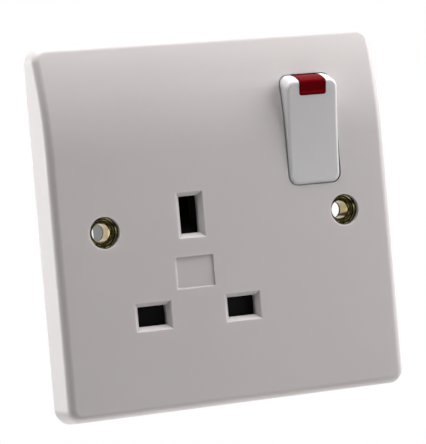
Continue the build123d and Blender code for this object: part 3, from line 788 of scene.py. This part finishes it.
@dataclass
class RockerSwitch:
    """Rocker with its red window, and the plungers in its leg.

    The window is found from the pivot: its half width, the height of its lower edge and how far out
    of the rocker its pocket starts.
    """

    edge: float = 0.08 * MM
    window_half: float = 3.45 * MM
    window_low: float = 9.15 * MM
    window_corner: float = 0.6 * MM
    window_drop: float = 0.38 * MM
    window_depth: float = 3.4 * MM
    finish: MouldedPlastic = MouldedPlastic(
        "white_rocker", (0.700, 0.688, 0.693), (0.690, 0.678, 0.683), glow=0.8
    )
    nylon: MouldedPlastic = MouldedPlastic("natural_nylon", (0.60, 0.56, 0.45), (0.56, 0.52, 0.41))

    def lower_window(self, form: bmesh.types.BMesh) -> None:
        """Lowers the window's lower edge a little, alike in the rocker and in the lens.

        Args:
            form: shape of the rocker or of the lens.
        """
        for vert in form.verts:
            offset = vert.co - ROCKER_PIVOT
            height = offset.dot(ROCKER_UP) - self.window_low
            beside = abs(offset.x) > self.window_half + 2 * self.edge
            in_front = offset.dot(ROCKER_OUT) > self.window_depth
            if in_front and not beside and -2 * self.edge < height < self.window_corner:
                vert.co -= ROCKER_UP * self.window_drop

    def build_form(self, node: str, name: str, material: bpy.types.Material) -> None:
        """Builds and places the rocker or its lens.

        Args:
            node: CAD node of the rocker or of its lens.
            name: name of the piece.
            material: its finish.
        """
        form = worked_copy(node, self.edge)
        self.lower_window(form)
        piece = place_piece(form, name, material, Body.ROCKER, node)
        weigh_normals(piece)

    def build(self) -> None:
        """Builds the rocker and its window, and dresses the plungers."""
        self.build_form("rocker", "rocker_cap", self.finish.material())
        low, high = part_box("neon_lens")
        low.z -= self.window_drop
        window = TintedLens("red_window", tuple((low + high) / 2), tuple((high - low) / 2))
        self.build_form("neon_lens", "red_lens", window.material())
        nylon = self.nylon.material()
        for pole in POLES:
            dress(f"{pole}_plunger", nylon)


@dataclass
class ReturnSprings:
    """Coils behind the plungers and under the shutter."""

    plunger_travel: float = 0.6 * MM
    shutter_travel: float = 6.3 * MM
    finish: RolledMetal = RolledMetal("spring_wire", (0.42, 0.42, 0.43), (0.25, 0.24, 0.23))

    def coil(self, node: str, body: Body) -> None:
        """Places one coil on the body that carries it.

        Args:
            node: CAD node of the coil.
            body: body that carries it.
        """
        form = merged_copy(node)
        piece = place_piece(form, f"{node}_coil", self.finish.material(), body, node)
        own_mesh(piece)

    def build(self) -> None:
        """Places the three coils."""
        for pole in POLES:
            self.coil(f"{pole}_plunger_spring", Body.ROCKER)
        self.coil("shutter_spring", Body.SOCKET)


@dataclass
class PinShutter:
    """Black shutter behind the pin openings, darker than black plastic: partly painted shade in the
    openings.
    """

    edge: float = 0.15 * MM
    # Partly painted shade: a near-zero black, so the pin openings show black.
    finish: MouldedPlastic = MouldedPlastic(
        "black_shutter_painted_shade",
        (0.0025, 0.0025, 0.003),
        (0.0035, 0.0035, 0.004),
        gloss=(0.55, 0.65),
        shine=0.06,
    )

    def build(self) -> None:
        """Builds and places the shutter."""
        form = worked_copy("shutter", self.edge)
        place_piece(form, "pin_shutter", self.finish.material(), Body.SHUTTER, "shutter")


@dataclass
class RearHousing:
    """Dark housing with its raised terminal letters, its screws and those of the terminals."""

    edge: float = 0.15 * MM
    case_screw_edge: float = 0.06 * MM
    wire_screw_edge: float = 0.08 * MM
    letters: tuple[tuple[str, str], ...] = (
        ("E", "earth_terminal"),
        ("N", "neutral_terminal"),
        ("L", "line_terminal"),
    )
    letter_size: float = 5.0 * MM
    letter_foot: float = 16.6 * MM
    letter_wall: float = 15.65 * MM
    letter_rise: float = 0.50 * MM
    finish: MouldedPlastic = MouldedPlastic(
        "dark_housing",
        (0.030, 0.030, 0.032),
        (0.040, 0.039, 0.040),
        gloss=(0.42, 0.58),
        grain_waves=900.0,
        grain_depth=1.2e-5,
    )
    zinc: TurnedMetal = TurnedMetal("zinc_screws", (0.62, 0.60, 0.55), (0.45, 0.42, 0.33))

    def raise_letter(self, form: bmesh.types.BMesh, letter: str, terminal: str) -> None:
        """Adds a raised letter to the back of the housing, below its terminal.

        Args:
            form: shape of the housing.
            letter: letter to raise.
            terminal: CAD node of the terminal.
        """
        low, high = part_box(terminal)
        text = bpy.data.curves.new(f"letter_{letter}", "FONT")
        text.body = letter
        text.size = self.letter_size
        text.align_x = "CENTER"
        text.extrude = self.letter_rise
        holder = bpy.data.objects.new(text.name, text)
        mesh = bpy.data.meshes.new_from_object(holder)
        bpy.data.objects.remove(holder)
        bpy.data.curves.remove(text)
        place = Matrix.Translation(((low.x + high.x) / 2, self.letter_wall, self.letter_foot))
        facing_back = Matrix(((-1.0, 0.0, 0.0), (0.0, 0.0, 1.0), (0.0, 1.0, 0.0)))
        mesh.transform(place @ facing_back.to_4x4())
        relief = bmesh.new()
        relief.from_mesh(mesh)
        bmesh.ops.remove_doubles(relief, verts=relief.verts, dist=MERGE_DISTANCE)
        bmesh.ops.recalc_face_normals(relief, faces=relief.faces)
        relief.to_mesh(mesh)
        relief.free()
        form.from_mesh(mesh)
        bpy.data.meshes.remove(mesh)

    def build(self) -> None:
        """Builds the housing with its letters, and both kinds of screws."""
        form = worked_copy("rear_housing", self.edge)
        for letter, terminal in self.letters:
            self.raise_letter(form, letter, terminal)
        housing = place_piece(form, "housing", self.finish.material(), Body.SOCKET, "rear_housing")
        weigh_normals(housing)
        zinc = self.zinc.material()
        form = worked_copy("housing_screws", self.case_screw_edge)
        place_piece(form, "case_screws", zinc, Body.SOCKET, "housing_screws")
        form = worked_copy("terminal_screws", self.wire_screw_edge)
        place_piece(form, "wire_screws", zinc, Body.SOCKET, "terminal_screws")


@dataclass
class Conductors:
    """Metal that carries the current and the earth, and the neon lamp's circuit."""

    strap_edge: float = 0.08 * MM
    brass: RolledMetal = RolledMetal("strip_brass", (0.66, 0.47, 0.21), (0.45, 0.30, 0.13))
    bronze: RolledMetal = RolledMetal("spring_bronze", (0.60, 0.36, 0.20), (0.40, 0.22, 0.12))
    # Painted shade: bronze darkened nearly to black, so the earth clip shows black inside the earth
    # opening.
    bronze_in_painted_shade: RolledMetal = RolledMetal(
        "bronze_darkened_as_painted_shade", (0.030, 0.021, 0.015), (0.018, 0.013, 0.010), gloss=(0.45, 0.6)
    )
    # Painted shade: steel darkened to black, so the strap shows black inside the earth opening.
    steel_in_painted_shade: RolledMetal = RolledMetal(
        "steel_darkened_as_painted_shade", (0.014, 0.014, 0.014), (0.022, 0.020, 0.018), gloss=(0.45, 0.6)
    )
    zinc: RolledMetal = RolledMetal("zinc_strap", (0.55, 0.54, 0.50), (0.42, 0.40, 0.34))
    silver: RolledMetal = RolledMetal("contact_silver", (0.80, 0.79, 0.76), (0.55, 0.53, 0.48))
    tin: RolledMetal = RolledMetal("tinned_wire", (0.60, 0.60, 0.58), (0.45, 0.44, 0.42))
    paint: MouldedPlastic = MouldedPlastic("resistor_paint", (0.36, 0.20, 0.10), (0.33, 0.18, 0.09))
    glass: LampGlass = LampGlass("lamp_glass")

    def build(self) -> None:
        """Dresses every strip, clip, contact and terminal, and the lamp with its circuit."""
        brass = self.brass.material()
        bronze = self.bronze.material()
        silver = self.silver.material()
        for pole in POLES:
            for part in ("terminal", "terminal_plate", "busbar", "contact_arm"):
                dress(f"{pole}_{part}", brass)
            dress(f"{pole}_pin_clip", bronze)
            dress(f"{pole}_arm_contact", silver)
        dress("fixed_contacts", silver)
        dress("earth_terminal", brass)
        # The earth clip and the strap below carry painted shade.
        dress("earth_clip", self.bronze_in_painted_shade.material())
        dress("earth_link", self.zinc.material())
        form = worked_copy("earth_strap", self.strap_edge)
        place_piece(form, "strap", self.steel_in_painted_shade.material(), Body.SOCKET, "earth_strap")
        dress("neon_lamp", self.glass.material())
        dress("neon_resistor", self.paint.material())
        dress("neon_leads", self.tin.material())


@dataclass(frozen=True)
class SoftLamp:
    """Square soft lamp that looks at the middle of the socket.

    Its azimuth goes round from the front towards the right, and its height up from the level,
    both in degrees.
    """

    name: str
    azimuth: float
    height: float
    power: float
    size: float = 0.35
    distance: float = 0.5

    def build(self) -> None:
        """Adds the lamp."""
        turn, rise = math.radians(self.azimuth), math.radians(self.height)
        level = math.cos(rise)
        away = Vector((math.sin(turn) * level, -math.cos(turn) * level, math.sin(rise)))
        data = bpy.data.lights.new(self.name, "AREA")
        data.size = self.size
        data.energy = self.power
        lamp = bpy.data.objects.new(self.name, data)
        lamp.location = away * self.distance
        lamp.rotation_mode = "QUATERNION"
        lamp.rotation_quaternion = away.to_track_quat("Z", "Y")
        lamp.visible_camera = False
        bpy.context.scene.collection.objects.link(lamp)


@dataclass
class Studio:
    """Floor, lamps, world and the camera at the photograph's angle.

    The camera's turns are in radians, and its focal length is in pixels of the photograph. The
    floor is a disc that fades to white between two shares of its radius.
    """

    camera_place: Triple = (-0.20602, -0.49520, 0.01492)
    camera_turns: Triple = (0.0305, -0.3939, -0.0980)
    focal_pixels: float = 2293.19
    image_height: float = 444.0
    sensor: float = 36.0
    clip: Range = (0.01, 20.0)
    floor_drop: float = 0.30
    floor_radius: float = 0.36
    floor_colour: Colour = (0.62, 0.62, 0.62)
    floor_roughness: float = 0.8
    floor_fade: Range = (0.25, 0.95)
    floor_white: Range = (0.55, 1.0)
    ambient: float = 0.02
    lamps: tuple[SoftLamp, ...] = (
        SoftLamp("key", 60.0, 20.0, 1.65),
        SoftLamp("right_top", 90.0, 40.0, 2.1),
        SoftLamp("top_left", 275.0, 70.0, 2.2),
        SoftLamp("top_front", 0.0, 75.0, 0.95),
        SoftLamp("left_rear", 230.0, 5.0, 1.6),
        SoftLamp("below_left", 300.0, -82.0, 0.40, size=0.30, distance=0.28),
    )

    def add_camera(self) -> None:
        """Adds the camera with the position and turns that were fitted to the photograph."""
        facing_wall = Matrix(((1.0, 0.0, 0.0), (0.0, 0.0, -1.0), (0.0, 1.0, 0.0)))
        tip, swing, roll = self.camera_turns
        turned = Matrix.Rotation(roll, 3, "Z") @ Matrix.Rotation(swing, 3, "Y")
        right, down, forward = turned @ Matrix.Rotation(tip, 3, "X") @ facing_wall
        axes = Matrix((right, -down, -forward)).transposed()
        data = bpy.data.cameras.new("photo_camera")
        data.sensor_width = self.sensor
        data.lens = self.focal_pixels / self.image_height * self.sensor
        data.clip_start, data.clip_end = self.clip
        camera = bpy.data.objects.new("photo_camera", data)
        camera.matrix_world = Matrix.Translation(self.camera_place) @ axes.to_4x4()
        bpy.context.scene.collection.objects.link(camera)
        bpy.context.scene.camera = camera

    def add_world(self) -> None:
        """Lights the scene evenly, and shows white to the camera, to metal and through glass."""
        world = bpy.data.worlds.new("studio")
        bpy.context.scene.world = world
        graph = Graph(world)
        soft = graph.tree.nodes["Background"]
        graph.feed(soft.inputs["Color"], WHITE)
        graph.feed(soft.inputs["Strength"], self.ambient)
        white = graph.add("ShaderNodeBackground", {"Color": WHITE})
        backgrounds = {1: soft.outputs["Background"], 2: white.outputs["Background"]}
        mix = graph.add("ShaderNodeMixShader", {0: graph.sees_white(), **backgrounds})
        graph.feed(graph.tree.nodes["World Output"].inputs["Surface"], mix.outputs["Shader"])

    def add_floor(self) -> None:
        """Adds a pale round floor that fades to white at its rim and takes the socket's shadow."""
        form = bmesh.new()
        bmesh.ops.create_circle(form, cap_ends=True, segments=96, radius=self.floor_radius)
        bmesh.ops.translate(form, verts=form.verts, vec=(0.0, 0.0, -self.floor_drop))
        mesh = bpy.data.meshes.new("floor")
        form.to_mesh(mesh)
        form.free()
        surface = Surface("pale_floor")
        surface.fill({"Base Color": (*self.floor_colour, 1.0), "Roughness": self.floor_roughness})
        start, end = self.floor_fade
        edge = (start * self.floor_radius, end * self.floor_radius)
        fade = surface.ranged(surface.distance(surface.place()), edge, self.floor_white)
        share = surface.compute("MULTIPLY", fade, surface.sees_white())
        white = surface.add("ShaderNodeEmission")
        either = {0: share, 1: surface.shader.outputs["BSDF"], 2: white.outputs["Emission"]}
        mix = surface.add("ShaderNodeMixShader", either)
        surface.feed(surface.tree.nodes["Material Output"].inputs["Surface"], mix.outputs["Shader"])
        mesh.materials.append(surface.material)
        floor = bpy.data.objects.new("floor", mesh)
        bpy.context.scene.collection.objects.link(floor)

    def build(self) -> None:
        """Sets up the floor, the world, the lamps and the camera."""
        bpy.context.scene.view_settings.view_transform = "Standard"
        self.add_world()
        self.add_floor()
        for lamp in self.lamps:
            lamp.build()
        self.add_camera()
        log.info("studio ready with %d lamps", len(self.lamps))


def main() -> None:
    """Builds the socket's pieces in order, then the studio."""
    logging.basicConfig(level=logging.INFO, format="%(name)s: %(message)s")
    for assembly in (
        Faceplate(),
        FixingBush("bush_left", "left_bush"),
        FixingBush("bush_right", "right_bush"),
        RockerSwitch(),
        ReturnSprings(),
        PinShutter(),
        RearHousing(),
        Conductors(),
        Studio(),
    ):
        assembly.build()


if __name__ == "__main__":
    main()
